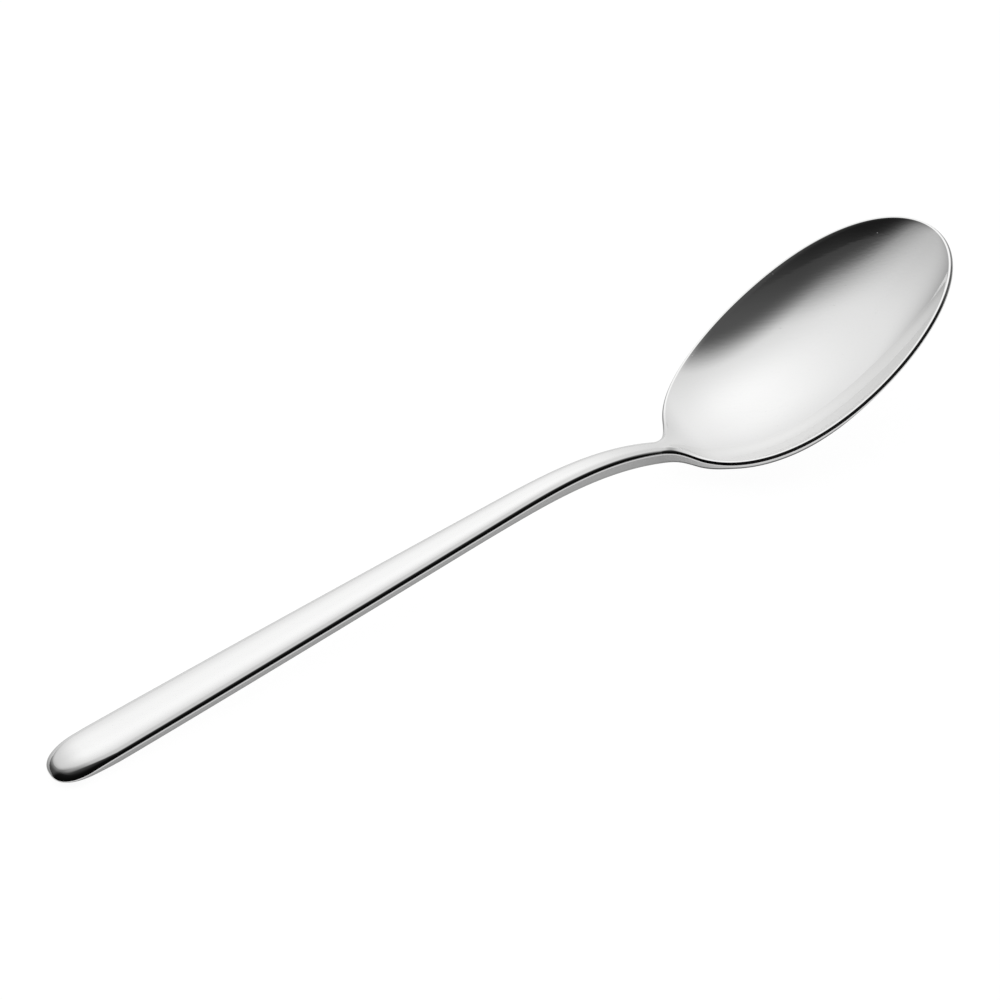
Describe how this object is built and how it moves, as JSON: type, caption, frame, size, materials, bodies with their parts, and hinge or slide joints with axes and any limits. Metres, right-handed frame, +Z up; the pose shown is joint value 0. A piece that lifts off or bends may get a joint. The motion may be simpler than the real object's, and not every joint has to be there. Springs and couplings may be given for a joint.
{
  "type": "dessert spoon",
  "caption": "Polished steel dessert spoon: a thin oval bowl that rises from a narrow bent neck, on a slim flat handle that widens to a rounded end.",
  "frame": {"origin": "on the table, under the middle of the spoon's box, as the spoon lies with its bowl open upwards", "axes": "+X from the end of the handle towards the tip of the bowl, +Y across the bowl, +Z up out of the bowl"},
  "size_m": [0.1788, 0.0366, 0.024],
  "materials": {
    "steel": "polished stainless steel with very fine lengthwise polishing marks"
  },
  "bodies": {
    "root": {"handle": "steel", "bowl": "steel"}
  },
  "joints": []
}
